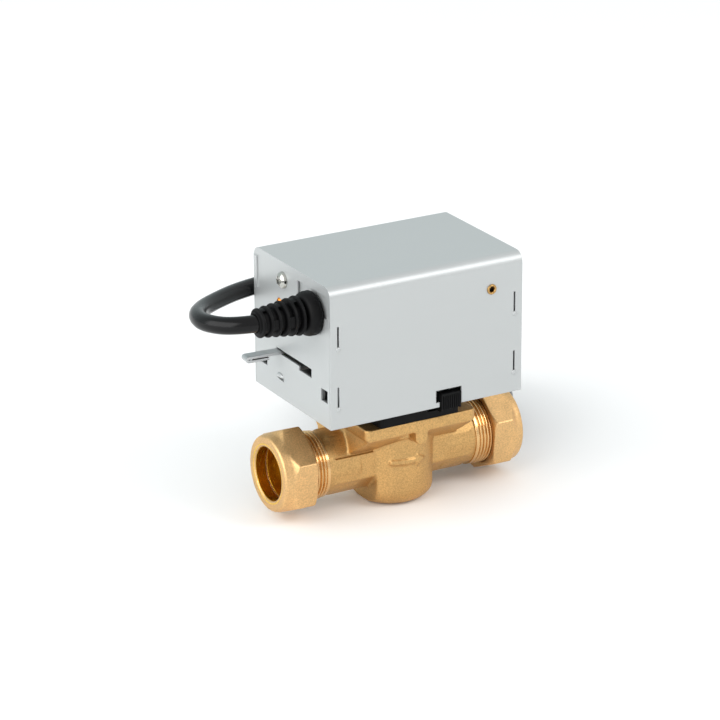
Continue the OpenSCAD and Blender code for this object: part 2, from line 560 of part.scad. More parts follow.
// Cores that fan out inside the head, from the end of the sheath to the works
core_from = [for (i = [0 : 4]) [-36.7, gland_y + 1.7 * cos(72 * i + 90), gland_z + 1.7 * sin(72 * i + 90)]];
module core_wires() color("#5B4A3C") {
    swept(curve(core_from[0], [-22, -4, 96], [-37, 28, 78], [-38, 17.5, floor_z + 1]), 0.75, 8);
    swept(curve(core_from[1], [-28, -17, 92.5], [-14, -4, 84], [motor_x - motor_r - 0.4, motor_y + 3, 84]), 0.75, 8);
    swept(curve(core_from[4], [-28, -15, 89], [-14, -10, 82], [motor_x - motor_r - 0.4, motor_y - 3, 82]), 0.75, 8);
    swept(curve(core_from[2], [-32, -19.5, 84], [-40, -25, 54.4], [switch_lo.x - 4, switch_lo.y + 3.2, floor_z + 6.5]), 0.75, 8);
    swept(curve(core_from[3], [-24, -17, 86], [10, -25, 54.4], [switch_lo.x + 24, switch_lo.y + 3.2, floor_z + 6.5]), 0.75, 8);
}

// Strain relief: a collar, a neck held by the chassis, and a tail of ribs that tapers
module lead_gland() color("#1C1C1D") difference() {
    translate([-half_l + 5, gland_y, gland_z]) rotate([0, -90, 0]) rotate_extrude($fn = 64)
        polygon(concat([[3.6, 0], [8, 0], [8, 2.9 - 0.04], [6.45, 2.9 - 0.04], [6.45, 5.02], [8.4, 5.02], [8.9, 5.8], [8.9, 9.2], [8.2, 10.4]],
            [for (i = [0 : 5], k = [0 : 3]) let (r = 7.9 - i * 0.42)
                [k == 0 || k == 3 ? r - 1.5 : r, 10.4 + i * 3.3 + [0.5, 1.1, 2.3, 2.9][k]]],
            [[4.2, 30.5], [3.6, 30.5]]));
}
module lead_tube() color("#151515") {
    swept(lead_path, lead_d / 2, 12);
    rod_x(gland_tip - e, -37.5, lead_d / 2, gland_y, gland_z);
}
module lead_coil() color("#151515") translate([coil_at.x, coil_at.y, 0]) rotate_extrude($fn = 72)
    translate([coil_r - lead_d / 2, 0]) square([lead_d, coil_h]);
module lead_tail() color("#151515") swept(tail_path, lead_d / 2 - 0.01, 12);
module coil_tie() color("#101010") translate([coil_at.x, coil_at.y + coil_r, 0]) difference() {
    translate([-1.8, -lead_d / 2 - 1.2, 0]) cube([3.6, lead_d + 2.4, coil_h + 1.2]);
    translate([0, 0, -1]) linear_extrude(coil_h + 1.01) translate([0, -coil_r]) difference() {
        circle(coil_r + lead_d / 2 + 0.01, $fn = 72);
        circle(coil_r - lead_d / 2 - 0.01, $fn = 72);
    }
}
// Stripped cores at the free end
module bare_cores() color("#8A6B4E") for (i = [0 : 4]) {
    side = [-tail_way.y, tail_way.x, 0];
    from = tail_end + 0.5 * tail_way + 1.7 * cos(72 * i + 90) * side + [0, 0, 1.7 * sin(72 * i + 90)];
    order = [2, 0, 1, 3, 4][i] - 2;
    swept(curve(from, from + 8 * tail_way, tail_end + 14 * tail_way + 3 * order * side - [0, 0, 2],
        tail_end + 22 * tail_way + 4 * order * side - [0, 0, 2.4]), 0.85, 8);
}

valve_body();
valve_seat();
inlet_nut();
outlet_nut();
inlet_olive();
outlet_olive();
bonnet_plate();
bonnet_seal();
bonnet_screws();
spindle();
spindle_seals();
paddle_arm();
valve_ball();
ball_rivet();
adaptor_plate();
adaptor_screws();
cover();
chassis();
cover_screws();
end_rivet();
front_eyelet();
release_latch();
latch_spring();
motor_can();
motor_gearcase();
motor_coil();
motor_screws();
motor_pinion();
sector_gear();
drive_hub();
manual_lever();
lever_rivets();
return_spring();
spring_post();
switch_body();
switch_plunger();
switch_terminals();
switch_screws();
earth_tag();
earth_screw();
core_wires();
lead_gland();
lead_tube();
lead_coil();
lead_tail();
coil_tie();
bare_cores();
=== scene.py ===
"""Two-port motorised zone valve: the visible pieces, their finishes and the studio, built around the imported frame."""
import math

import bmesh
import bpy
from mathutils import Matrix, Vector


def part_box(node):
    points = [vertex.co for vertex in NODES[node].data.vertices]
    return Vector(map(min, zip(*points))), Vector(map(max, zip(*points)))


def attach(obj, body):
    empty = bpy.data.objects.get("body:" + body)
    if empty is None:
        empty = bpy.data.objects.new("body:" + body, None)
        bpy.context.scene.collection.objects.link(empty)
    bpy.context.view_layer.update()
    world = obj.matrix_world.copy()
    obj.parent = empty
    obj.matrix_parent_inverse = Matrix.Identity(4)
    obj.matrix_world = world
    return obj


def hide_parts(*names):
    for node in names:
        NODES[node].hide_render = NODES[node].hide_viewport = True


bl_info = {
    "name": "Zone valve",
    "version": (1, 0, 0),
    "blender": (4, 5, 0),
    "location": "View3D > Sidebar > Zone valve",
    "description": "Builds a motorised zone valve with its lead, finishes and studio",
    "category": "Add Mesh",
}

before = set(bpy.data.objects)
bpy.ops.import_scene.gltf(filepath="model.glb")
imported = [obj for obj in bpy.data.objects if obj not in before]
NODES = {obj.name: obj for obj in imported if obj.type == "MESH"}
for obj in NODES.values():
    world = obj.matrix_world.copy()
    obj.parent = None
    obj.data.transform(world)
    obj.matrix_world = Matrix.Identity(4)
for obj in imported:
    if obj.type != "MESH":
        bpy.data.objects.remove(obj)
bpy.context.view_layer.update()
MM = 0.001

# The lead's way from the strain relief to its coil, in millimetres, as the part has it
LEAD_ROUTE = [
    (-69, -17.7, 91.2), (-74.4, -15.5, 90.9), (-78.8, -11.5, 90.3), (-81.5, -6.3, 89.8), (-82.4, -0.5, 89.2),
    (-81.4, 5.3, 88.7), (-79, 10.7, 88.1), (-75.5, 15.5, 87.4), (-71.4, 19.7, 86.8), (-66.8, 23.4, 86.3),
    (-61.9, 26.7, 85.9), (-56.8, 29.7, 85.6), (-51.6, 32.4, 85.3), (-46.1, 34.7, 85), (-40.5, 36.5, 84.8),
    (-34.7, 38.1, 84.3), (-29.1, 39.3, 83.3), (-23.6, 40.1, 81.2), (-18.4, 40.5, 78.3), (-13.7, 40.6, 74.7),
    (-9.5, 40.5, 70.5), (-5.9, 40.4, 65.8), (-3.1, 40.3, 60.6), (-0.9, 40.1, 55.1), (1.3, 39.6, 49.6),
    (3.7, 38.6, 44.5), (6.6, 37.2, 39.9), (9.9, 35.5, 35.8), (13.7, 33.4, 32.4), (18, 31.1, 29.8),
    (22.6, 28.9, 28), (28.5, 26.8, 26.8), (34.2, 25.6, 26.4), (40.1, 25.1, 26.3), (46.1, 25, 26.3),
]
CORE_COLOURS = ("core_blue", "core_brown", "core_grey", "core_orange", "core_earth")


# ---- settings ----

def in_metres(name, description, default):
    """A setting in metres."""
    return bpy.props.FloatProperty(name=name, description=description, default=default, unit="LENGTH")


def in_degrees(name, description, degrees):
    """A setting in degrees."""
    return bpy.props.FloatProperty(name=name, description=description, default=math.radians(degrees), subtype="ANGLE")


def as_number(name, description, default):
    """A setting without a unit."""
    return bpy.props.FloatProperty(name=name, description=description, default=default)


def as_colour(name, description, default):
    """A colour as sRGB hex."""
    return bpy.props.StringProperty(name=name, description=description, default=default)


class ZV_PG_sizes(bpy.types.PropertyGroup):
    """Sizes of the pieces that are made here"""
    lead_length: in_metres("Lead length", "Whole length of the lead", 1.0)
    lead_diameter: in_metres("Lead diameter", "Outside diameter of the sheath", 0.007)
    coil_radius: in_metres("Coil radius", "Radius at the middle of the coil's turns", 0.035)
    coil_turns: as_number("Coil turns", "Turns in the coil", 3.25)
    casting_edge: in_metres("Casting detail", "Cell size that rounds the forging's edges", 0.00055)
    nut_edge: in_metres("Nut detail", "Cell size that rounds the nuts' edges", 0.00045)
    thread_pitch: in_metres("Thread pitch", "Distance between the pipe thread's crests", 0.0015)


class ZV_PG_colours(bpy.types.PropertyGroup):
    """Colours of the main finishes"""
    zinc: as_colour("Zinc sheet", "Colour of the cover", "B9BCBC")
    brass: as_colour("Forged brass", "Colour of the body", "C8A169")
    brass_bright: as_colour("Machined brass", "Colour of the nuts and threads", "DAB27C")
    plastic: as_colour("Black plastic", "Colour of the plate and the latch", "0A0A0B")
    sheath: as_colour("Sheath", "Colour of the lead", "070708")
    floor: as_colour("Floor", "Colour of the studio floor", "F7F7F7")


class ZV_PG_view(bpy.types.PropertyGroup):
    """Where the camera stands"""
    azimuth: in_degrees("Azimuth", "Angle round the valve", -29.604)
    elevation: in_degrees("Elevation", "Angle above the horizon", 20.887)
    roll: in_degrees("Roll", "Tilt of the camera", -0.318)
    distance: in_metres("Distance", "Distance from the valve", 1.3539)
    across: in_metres("Across", "Sideways place of the camera", -0.0113)
    above: in_metres("Above", "Upward place of the camera", 0.03524)
    lens: as_number("Lens", "Focal length in millimetres", 167.5)


def sizes():
    """The settings of the pieces' sizes."""
    return bpy.context.scene.zv_sizes


def colours():
    """The settings of the finishes' colours."""
    return bpy.context.scene.zv_colours


# ---- materials ----

# The part of a noise's range that most of it lies in
NOISE_RANGE = (0.3, 0.7)
# Radius that edges look worn to
WORN_EDGE = 0.25 * MM


def linear(hex_colour):
    """sRGB hex to a linear colour."""
    parts = [int(hex_colour[i:i + 2], 16) / 255 for i in (0, 2, 4)]
    return tuple(c / 12.92 if c <= 0.04045 else ((c + 0.055) / 1.055) ** 2.4 for c in parts) + (1.0,)


def shade(hex_colour, factor):
    """The same colour, lighter or darker."""
    return tuple(min(1.0, c * factor) for c in linear(hex_colour)[:3]) + (1.0,)


def add(tree, kind, inputs=None, **settings):
    """Adds a node with its settings. inputs holds a value, or the socket that feeds it, for each input by name or
    number."""
    made = tree.nodes.new(kind)
    for name, value in settings.items():
        setattr(made, name, value)
    for name, value in (inputs or {}).items():
        if isinstance(value, bpy.types.NodeSocket):
            tree.links.new(value, made.inputs[name])
        else:
            made.inputs[name].default_value = value
    return made


def set_ends(mix, low, high):
    """Sets the two colours that a colour mix goes between."""
    for socket in mix.inputs:
        if socket.type == "RGBA":
            socket.default_value = low if socket.name == "A" else high


def colour_of(mix):
    """The colour that a colour mix gives."""
    return next(socket for socket in mix.outputs if socket.type == "RGBA")


def finish_material(name, colour, spread, patch, rough, grain, depth, metallic=0.0, stretch=(1, 1, 1),
                    speck=0.0, **shader):
    """A finish with drifting colour and roughness over patches, and a fine grain that stands up by depth and also
    shows in the colour by speck. Sizes are in millimetres."""
    made = bpy.data.materials.new(f"finish_{name}")
    made.use_nodes = True
    tree = made.node_tree
    tree.nodes.clear()
    place = add(tree, "ShaderNodeTexCoord").outputs["Object"]
    place = add(tree, "ShaderNodeMapping", {"Vector": place, "Scale": stretch}).outputs["Vector"]
    broad = add(tree, "ShaderNodeTexNoise",
                {"Vector": place, "Scale": 1000 / patch, "Detail": 3.0, "Roughness": 0.55}).outputs["Fac"]
    fine = add(tree, "ShaderNodeTexNoise",
               {"Vector": place, "Scale": 1000 / grain, "Detail": 2.0, "Roughness": 0.6}).outputs["Fac"]
    flecked = add(tree, "ShaderNodeMath", {0: fine, 1: speck, 2: broad}, operation="MULTIPLY_ADD").outputs["Value"]
    low, high = NOISE_RANGE
    drift = add(tree, "ShaderNodeMapRange",
                {"Value": flecked, "From Min": low + 0.35 * speck, "From Max": high + 0.65 * speck}).outputs["Result"]
    tint = add(tree, "ShaderNodeMix", {"Factor": drift}, data_type="RGBA")
    set_ends(tint, shade(colour, 1 - spread), shade(colour, 1 + spread))
    roughness = add(tree, "ShaderNodeMapRange",
                    {"Value": broad, "From Min": low, "From Max": high, "To Min": rough[0], "To Max": rough[1]})
    worn = add(tree, "ShaderNodeBevel", {"Radius": WORN_EDGE}, samples=4).outputs["Normal"]
    relief = add(tree, "ShaderNodeBump", {"Height": fine, "Strength": 1.0, "Distance": depth * MM, "Normal": worn})
    inputs = {"Base Color": colour_of(tint), "Roughness": roughness.outputs["Result"],
              "Normal": relief.outputs["Normal"], "Metallic": metallic}
    inputs.update(shader)
    skin = add(tree, "ShaderNodeBsdfPrincipled", inputs)
    add(tree, "ShaderNodeOutputMaterial", {"Surface": skin.outputs["BSDF"]})
    return made


FINISHES = {}
EVEN = (1, 1, 1)
# Patch size, roughness from and to, grain size and depth of the cores' insulation
INSULATION = (4, (0.28, 0.36), 0.8, 0.003)


def material(name):
    """The finish of that name, made when it is first asked for."""
    if name not in FINISHES:
        FINISHES[name] = make_finish(name)
    return FINISHES[name]


def make_finish(name):
    """Makes one of the finishes."""
    c = colours()
    looks = {
        # colour, spread of its shade, patch size, roughness from and to, grain size, grain depth, metallic,
        # stretch, speck
        # Zinc-coated sheet: pale, satin, with faint rolling along the sheet
        "zinc_sheet": (c.zinc, 0.012, 30, (0.4, 0.44), 1.6, 0.0004, 0.55, (0.25, 1, 1)),
        # Hot-stamped brass, shot-blasted: sandy grain of about 0.5 mm, warm yellow
        "brass_forged": (c.brass, 0.22, 9, (0.42, 0.52), 0.6, 0.06, 1.0, EVEN, 2.5),
        # Stamped nuts with cleaner, brighter faces
        "brass_nut": (c.brass_bright, 0.2, 8, (0.38, 0.48), 0.6, 0.06, 1.0, EVEN, 2.2),
        # Turned brass: bright, with rings of the tool along the pipe's axis
        "brass_turned": (c.brass_bright, 0.04, 3, (0.18, 0.28), 0.5, 0.004, 1.0, (6, 1, 1)),
        # Bored and reamed brass, polished by the tool: deep gold from light that bounces inside
        "brass_bore": ("FDCD4E", 0.05, 3, (0.2, 0.28), 0.5, 0.003, 1.0, (6, 1, 1)),
        # Soft copper alloy ring
        "copper_olive": ("D99A6C", 0.05, 4, (0.25, 0.35), 0.6, 0.004, 1.0),
        # Copper-coloured rivet, bright on its dome
        "copper_rivet": ("E08A3C", 0.06, 2, (0.2, 0.3), 0.4, 0.002, 1.0),
        # Pressed brass eyelet, slightly dulled
        "eyelet_brass": ("B8935C", 0.08, 2, (0.25, 0.4), 0.4, 0.003, 1.0),
        # Bright zinc plating on screws
        "steel_bright": ("B9B9B3", 0.05, 3, (0.12, 0.2), 0.4, 0.002, 1.0),
        # Ground stainless steel
        "stainless": ("C9CBCD", 0.04, 3, (0.2, 0.3), 0.4, 0.003, 1.0, (1, 1, 5)),
        # Zinc-plated strip, duller than the cover
        "lever_steel": ("BFC1C2", 0.06, 5, (0.3, 0.42), 0.7, 0.004, 1.0, (0.3, 1, 1)),
        # Drawn steel can of the motor
        "motor_steel": ("D0D2D2", 0.04, 8, (0.25, 0.35), 0.9, 0.003, 1.0),
        # Drawn spring wire, dark with a polish
        "spring_steel": ("8E9092", 0.08, 3, (0.22, 0.3), 0.4, 0.002, 1.0),
        # Enamelled copper under clear tape
        "copper_winding": ("A8511F", 0.15, 3, (0.25, 0.4), 0.35, 0.02, 0.6, (1, 1, 8)),
        # Glass-filled nylon, moulded with a fine spark texture
        "nylon_black": (c.plastic, 0.15, 6, (0.5, 0.6), 0.5, 0.012),
        # Soft PVC boot: satin black
        "gland_pvc": ("050506", 0.15, 5, (0.48, 0.58), 0.6, 0.006),
        # Extruded PVC sheath: glossy, with slight waviness along its length
        "sheath_pvc": (c.sheath, 0.1, 12, (0.2, 0.26), 2.5, 0.006),
        # Nitrile rubber of the ball and the seals
        "rubber_black": ("232324", 0.12, 4, (0.5, 0.62), 0.6, 0.006),
        # Moulded switch case
        "switch_case": ("26292E", 0.1, 4, (0.38, 0.5), 0.5, 0.006),
        # Red moulded plunger
        "plunger_red": ("B52A20", 0.06, 2, (0.25, 0.35), 0.4, 0.002),
        # Extruded PVC insulation in the usual colours
        "core_blue": ("1F5FA8", 0.06, *INSULATION),
        "core_brown": ("6B3A1E", 0.06, *INSULATION),
        "core_grey": ("8C8F92", 0.06, *INSULATION),
        "core_orange": ("E07A1F", 0.06, *INSULATION),
        "core_earth": ("7FA62B", 0.25, 5, *INSULATION[1:]),
        # Tinned copper strands
        "copper_strand": ("C8824E", 0.1, 1.2, (0.2, 0.3), 0.3, 0.01, 1.0),
        # Painted studio floor
        "studio_floor": (c.floor, 0.004, 300, (0.75, 0.8), 20, 0.002),
    }
    shaders = {
        "copper_winding": {"Coat Weight": 0.4},
        "nylon_black": {"IOR": 1.53, "Specular IOR Level": 0.12},
        "gland_pvc": {"IOR": 1.5, "Specular IOR Level": 0.16},
        "sheath_pvc": {"IOR": 1.53, "Specular IOR Level": 0.22},
        "rubber_black": {"IOR": 1.52},
        "switch_case": {"IOR": 1.55},
        "plunger_red": {"IOR": 1.5},
        **{core: {"IOR": 1.53} for core in CORE_COLOURS},
    }
    return finish_material(name, *looks[name], **shaders.get(name, {}))


# ---- helpers ----

# Angles in degrees: edges over the first are broken, and those over the second still look crisp
EDGE_ANGLE = 32
CREASE_ANGLE = 50


def keep(obj, finish, body, slot, *nodes):
    """Gives a finished piece its material and its body, and hides the nodes it stands for. The slot is not used."""
    obj.data.materials.clear()
    obj.data.materials.append(material(finish))
    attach(obj, body)
    if nodes:
        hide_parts(*nodes)
    return obj


def link(name, data):
    """A new object in the scene that shows the data."""
    obj = bpy.data.objects.new(name, data)
    bpy.context.scene.collection.objects.link(obj)
    return obj


def merged_copy(node, name):
    """A joined-up copy of a CAD node's mesh, with flat areas made single faces."""
    bm = bmesh.new()
    bm.from_mesh(NODES[node].data)
    bmesh.ops.remove_doubles(bm, verts=bm.verts, dist=1e-6)
    bmesh.ops.dissolve_limit(bm, angle_limit=math.radians(0.5), verts=bm.verts, edges=bm.edges)
    mesh = bpy.data.meshes.new(name)
    bm.verts.ensure_lookup_table()
    mesh.from_pydata([tuple(v.co) for v in bm.verts], [], [[v.index for v in f.verts] for f in bm.faces])
    bm.free()
    return link(name, mesh)


def settle(obj):
    """Turns the object's modifiers into a plain mesh."""
    bpy.context.view_layer.update()
    mesh = bpy.data.meshes.new_from_object(obj.evaluated_get(bpy.context.evaluated_depsgraph_get()))
    mesh.name = obj.name
    obj.modifiers.clear()
    if obj.type == "MESH":
        obj.data = mesh
        return obj
    name = obj.name
    bpy.data.objects.remove(obj)
    return link(name, mesh)


def smooth(obj, sharp):
    """Shades the piece smooth, with edges over sharp degrees kept crisp."""
    bm = bmesh.new()
    bm.from_mesh(obj.data)
    for face in bm.faces:
        face.smooth = True
    for edge in bm.edges:
        edge.smooth = len(edge.link_faces) == 2 and edge.calc_face_angle(0) < math.radians(sharp)
    bm.to_mesh(obj.data)
    bm.free()
    return obj


def edged(node, name, width):
    """A copy of a CAD node with its edges slightly broken, as tools and tumbling leave them."""
    obj = merged_copy(node, name)
    bevel = obj.modifiers.new("Edge", "BEVEL")
    bevel.width = width
    bevel.segments = 2
    bevel.limit_method = "ANGLE"
    bevel.angle_limit = math.radians(EDGE_ANGLE)
    bevel.use_clamp_overlap = True
    obj = smooth(settle(obj), CREASE_ANGLE)
    flats = obj.modifiers.new("Flats", "WEIGHTED_NORMAL")
    flats.keep_sharp = True
    return settle(obj)


def softened(node, name, cell, rounds, keep_if=None, grooves=()):
    """A copy of a CAD node as a forging: rebuilt on a fine grid, and relaxed until its edges and corners are round.
    Grooves are boxes, as two corners, cut afterwards so that they stay crisp."""
    obj = merged_copy(node, name)
    remesh = obj.modifiers.new("Grid", "REMESH")
    remesh.mode = "VOXEL"
    remesh.voxel_size = cell
    remesh.adaptivity = 0
    relax = obj.modifiers.new("Relax", "SMOOTH")
    relax.factor = 0.5
    relax.iterations = rounds
    obj = settle(obj)
    for lo, hi in grooves:
        lo, hi = Vector(lo), Vector(hi)
        bm = bmesh.new()
        bmesh.ops.create_cube(bm, size=1)
        bm.transform(Matrix.Translation((lo + hi) / 2) @ Matrix.Diagonal((*(hi - lo), 1)))
        mesh = bpy.data.meshes.new("Cutter")
        bm.to_mesh(mesh)
        bm.free()
        cutter = link("Cutter", mesh)
        cut = obj.modifiers.new("Groove", "BOOLEAN")
        cut.object = cutter
        cut.solver = "FAST"
        obj = settle(obj)
        bpy.data.objects.remove(cutter)
    if keep_if:
        bm = bmesh.new()
        bm.from_mesh(obj.data)
        bmesh.ops.delete(bm, geom=[v for v in bm.verts if not keep_if(v.co)], context="VERTS")
        bm.to_mesh(obj.data)
        bm.free()
    return smooth(obj, 75)


def bezier(a, b, c, d, count):
    """Points on the curve from a to d that b and c pull on."""
    a, b, c, d = (Vector(p) for p in (a, b, c, d))
    points = []
    for i in range(count + 1):
        t = i / count
        u = 1 - t
        points.append(u ** 3 * a + 3 * u * u * t * b + 3 * u * t * t * c + t ** 3 * d)
    return points


def tube(name, points, radius, sides=4):
    """A round tube along the points, with closed ends."""
    data = bpy.data.curves.new(name, "CURVE")
    data.dimensions = "3D"
    data.bevel_depth = radius
    data.bevel_resolution = sides
    data.use_fill_caps = True
    spline = data.splines.new("POLY")
    spline.points.add(len(points) - 1)
    for point, place in zip(spline.points, points):
        point.co = (*place, 1)
    spline.use_smooth = True
    return link(name, data)


def lathe(name, profile, steps=96, centre=(0, 0, 0)):
    """A ring round the X axis from a closed profile of (along, radius) points in millimetres, moved to the centre in
    metres."""
    bm = bmesh.new()
    rings = []
    for i in range(steps):
        a = math.tau * i / steps
        rings.append([bm.verts.new((x * MM, r * MM * math.sin(a), r * MM * math.cos(a))) for x, r in profile])
    for i in range(steps):
        here, there = rings[i], rings[(i + 1) % steps]
        for k in range(len(profile)):
            j = (k + 1) % len(profile)
            bm.faces.new((here[k], here[j], there[j], there[k]))
    bmesh.ops.recalc_face_normals(bm, faces=bm.faces)
    mesh = bpy.data.meshes.new(name)
    bm.transform(Matrix.Translation(centre))
    bm.to_mesh(mesh)
    bm.free()
    return link(name, mesh)


def row_tree():
    """Nodes that repeat a piece along a line, each one smaller and turned further round the line, as plain meshes
    with one finish."""
    name = "PieceRow"
    if name in bpy.data.node_groups:
        return bpy.data.node_groups[name]
    tree = bpy.data.node_groups.new(name, "GeometryNodeTree")
    face = tree.interface
    face.new_socket("Geometry", in_out="INPUT", socket_type="NodeSocketGeometry")
    for socket, kind in (("Piece", "Object"), ("Count", "Int"), ("Start", "Vector"), ("Step", "Vector"),
                         ("Taper", "Float"), ("Turn", "Float"), ("Finish", "Material")):
        face.new_socket(socket, in_out="INPUT", socket_type=f"NodeSocket{kind}")
    face.new_socket("Geometry", in_out="OUTPUT", socket_type="NodeSocketGeometry")
    given = add(tree, "NodeGroupInput").outputs
    places = add(tree, "GeometryNodeMeshLine",
                 {"Count": given["Count"], "Start Location": given["Start"], "Offset": given["Step"]},
                 mode="OFFSET").outputs["Mesh"]
    number = add(tree, "GeometryNodeInputIndex").outputs["Index"]
    turned = add(tree, "ShaderNodeMath", {0: number, 1: given["Turn"]}, operation="MULTIPLY").outputs["Value"]
    shrunk = add(tree, "ShaderNodeMath", {0: number, 1: given["Taper"]}, operation="MULTIPLY").outputs["Value"]
    size = add(tree, "ShaderNodeMath", {0: 1.0, 1: shrunk}, operation="SUBTRACT").outputs["Value"]
    copies = add(tree, "GeometryNodeInstanceOnPoints", {
        "Points": places,
        "Instance": add(tree, "GeometryNodeObjectInfo", {"Object": given["Piece"]}).outputs["Geometry"],
        "Rotation": add(tree, "ShaderNodeCombineXYZ", {"X": turned}).outputs["Vector"],
        "Scale": add(tree, "ShaderNodeCombineXYZ", {"X": 1.0, "Y": size, "Z": size}).outputs["Vector"],
    }).outputs["Instances"]
    real = add(tree, "GeometryNodeRealizeInstances", {"Geometry": copies}).outputs["Geometry"]
    painted = add(tree, "GeometryNodeSetMaterial", {"Geometry": real, "Material": given["Finish"]})
    add(tree, "NodeGroupOutput", {"Geometry": painted.outputs["Geometry"]})
    return tree


def row(name, piece, finish, count, start, step, taper=0.0, turn=0.0, both_ends=False):
    """A row of copies of the piece, with its mirror image at the other end if asked. The piece itself is used up."""
    obj = link(name, bpy.data.meshes.new(name))
    nodes = obj.modifiers.new("Row", "NODES")
    nodes.node_group = row_tree()
    given = {"Piece": piece, "Count": count, "Start": start, "Step": step, "Taper": taper, "Turn": turn,
             "Finish": material(finish)}
    for item in nodes.node_group.interface.items_tree:
        if item.in_out == "INPUT" and item.name in given:
            nodes[item.identifier] = given[item.name]
    if both_ends:
        obj.modifiers.new("Ends", "MIRROR").use_mirror_merge = False
    obj = settle(obj)
    bpy.data.objects.remove(piece)
    return smooth(obj, 40)


def length_of(points):
    """The length of a line of points."""
    return sum((b - a).length for a, b in zip(points, points[1:]))


def round_off(points, steps=4):
    """A smooth curve through the points."""
    result = []
    for i in range(len(points) - 1):
        p0, p1 = points[max(i - 1, 0)], points[i]
        p2, p3 = points[i + 1], points[min(i + 2, len(points) - 1)]
        for s in range(steps):
            t = s / steps
            result.append(0.5 * (2 * p1 + (p2 - p0) * t + (2 * p0 - 5 * p1 + 4 * p2 - p3) * t ** 2
                                 + (3 * p1 - p0 - 3 * p2 + p3) * t ** 3))
    result.append(points[-1])
    return result


# ---- the lead ----

COIL_CENTRE = Vector((0.052, 0.060, 0))
# Height of the centreline where the lead comes onto the coil
COIL_TOP = 0.0263
# Points on the centreline for each turn of the coil
TURN_POINTS = 56
# Radius of the bend that the free end leaves the coil in, and the distance between its points
TAIL_RADIUS = 0.024
TAIL_STEP = 0.0025
# Turns of the coil at the top and the bottom of the stack that the tie holds
TIED_TURNS = (0.5, 2.5)
# Distance of the cores from the middle of the sheath, and their radii over the insulation and over the strands
CORE_OFFSET = 0.0017
CORE_RADIUS = 0.00085
STRAND_RADIUS = 0.0005


def line_height(s, turns):
    """Height of the lead's centreline after so many turns of the coil."""
    return COIL_TOP - s.lead_diameter * turns


def band(name, centre, half_y, half_z, thickness, half_width, corner=0.0033, steps=6):
    """A strap pulled round a bundle that runs along X."""
    bm = bmesh.new()
    rings = []
    for quarter, (y, z) in enumerate(((1, 1), (-1, 1), (-1, -1), (1, -1))):
        pivot = centre + Vector((0, y * (half_y - corner), z * (half_z - corner)))
        for i in range(steps + 1):
            a = math.pi / 2 * (quarter + i / steps)
            out = Vector((0, math.cos(a), math.sin(a)))
            section = ((-half_width, corner), (half_width, corner),
                       (half_width, corner + thickness), (-half_width, corner + thickness))
            rings.append([bm.verts.new(pivot + reach * out + Vector((x, 0, 0))) for x, reach in section])
    for here, there in zip(rings, rings[1:] + rings[:1]):
        for k in range(4):
            bm.faces.new((here[k], here[(k + 1) % 4], there[(k + 1) % 4], there[k]))
    bmesh.ops.recalc_face_normals(bm, faces=bm.faces)
    mesh = bpy.data.meshes.new(name)
    bm.to_mesh(mesh)
    bm.free()
    return smooth(link(name, mesh), 40)


def lead_line():
    """The lead's centreline: from inside the strain relief, round the back and down into the coil, to the length that
    is asked for."""
    s = sizes()
    points = [Vector((-0.040 - 0.0029 * i, -0.0177, 0.0912)) for i in range(10)]
    points += round_off([Vector(p) * MM for p in LEAD_ROUTE] + [Vector((0.052, 0.025, COIL_TOP))], 3)
    turns, radius = s.coil_turns, s.coil_radius
    steps = int(turns * TURN_POINTS)
    for i in range(1, steps + 1):
        a = math.tau * turns * i / steps - math.pi / 2
        height = line_height(s, turns * i / steps)
        points.append(COIL_CENTRE + Vector((radius * math.cos(a), radius * math.sin(a), height)))
    end_angle = math.tau * turns - math.pi / 2
    pivot = COIL_CENTRE + (radius - TAIL_RADIUS) * Vector((math.cos(end_angle), math.sin(end_angle), 0))
    left = s.lead_length - length_of(points)
    steps = max(8, int(left / TAIL_STEP))
    for i in range(1, steps + 1):
        a = end_angle + left / TAIL_RADIUS * i / steps
        points.append(pivot + Vector((TAIL_RADIUS * math.cos(a), TAIL_RADIUS * math.sin(a), points[-1].z)))
    return points


class ZV_OT_lead(bpy.types.Operator):
    """Makes the lead, its tie and its stripped cores"""
    bl_idname = "zone_valve.lead"
    bl_label = "Lead"

    def execute(self, context):
        s = sizes()
        line = lead_line()
        lead = tube("Lead", line, s.lead_diameter / 2, 7)
        lead.data.materials.append(material("sheath_pvc"))
        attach(lead, "head")
        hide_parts("lead_tube", "lead_coil", "lead_tail")

        end, way = line[-1], (line[-1] - line[-2]).normalized()
        side = Vector((-way.y, way.x, 0))
        for i, (finish, order) in enumerate(zip(CORE_COLOURS, (2, 0, 1, 3, 4))):
            a = math.tau * i / 5 + math.pi / 2
            start = end + CORE_OFFSET * (math.cos(a) * side + math.sin(a) * Vector((0, 0, 1))) - 0.0005 * way
            fan = (order - 2) * side
            path = bezier(start, start + 0.008 * way, end + 0.014 * way + 0.003 * fan - Vector((0, 0, 0.0018)),
                          end + 0.022 * way + 0.004 * fan - Vector((0, 0, 0.0024)), 16)
            core = settle(tube(f"BareCore_{i + 1}", path, CORE_RADIUS, 3))
            keep(core, finish, "head", "core_insulation", *(["bare_cores"] if i == 0 else []))
            tip, onward = path[-1], (path[-1] - path[-2]).normalized()
            bare = [tip + reach * onward for reach in (-0.001, 0.002, 0.005)]
            strand = settle(tube(f"CoreStrand_{i + 1}", bare, STRAND_RADIUS, 3))
            keep(strand, "copper_strand", "head", "core_insulation")
        first, last = TIED_TURNS
        top, bottom = line_height(s, first) + s.lead_diameter / 2, line_height(s, last) - s.lead_diameter / 2
        tie = band("CoilTie", COIL_CENTRE + Vector((0, s.coil_radius, (top + bottom) / 2)),
                   s.lead_diameter / 2 + 0.0001, (top - bottom) / 2 + 0.0001, 0.0011, 0.0018)
        keep(tie, "gland_pvc", "head", "gland_pvc", "coil_tie")
        return {"FINISHED"}


# ---- the strain relief ----

